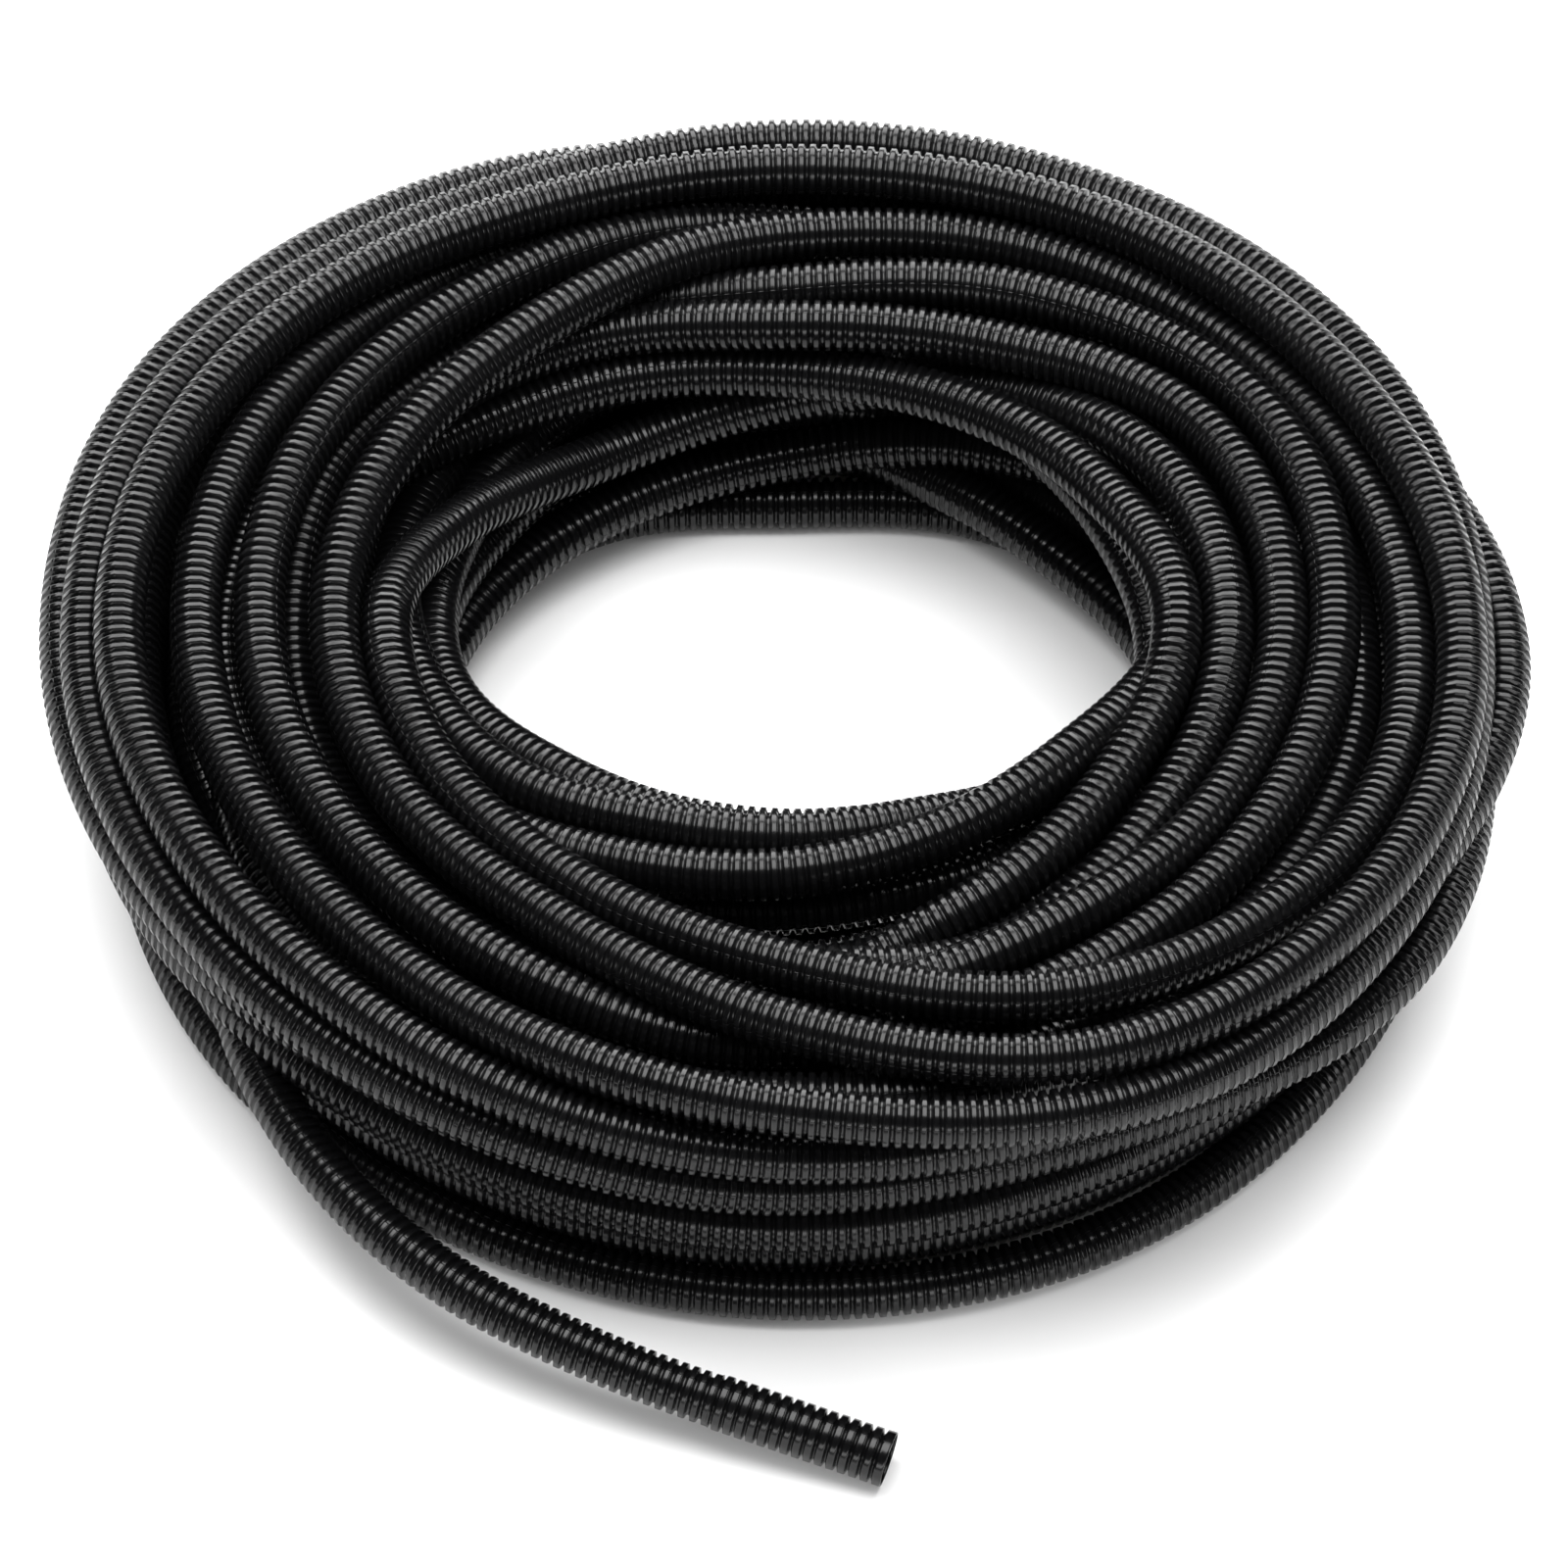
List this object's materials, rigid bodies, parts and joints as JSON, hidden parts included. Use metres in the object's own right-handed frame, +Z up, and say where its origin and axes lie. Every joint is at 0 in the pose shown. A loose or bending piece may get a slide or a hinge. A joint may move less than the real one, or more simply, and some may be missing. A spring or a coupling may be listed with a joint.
{
  "type": "corrugated conduit coil",
  "caption": "Loose coil of flexible corrugated plastic conduit lying flat, with one cut end leading out of the pile to take a fitting or cables.",
  "frame": {"origin": "middle of the footprint of coil and free end, on the floor", "axes": "+Z up along the coil's axis; the free end leads out at the front, -Y, and its cut looks towards +X"},
  "size_m": [0.442, 0.4755, 0.098],
  "materials": {
    "black_plastic": "satin black moulded plastic with a soft gloss"
  },
  "bodies": {
    "root": {"conduit": "black_plastic"}
  },
  "joints": []
}
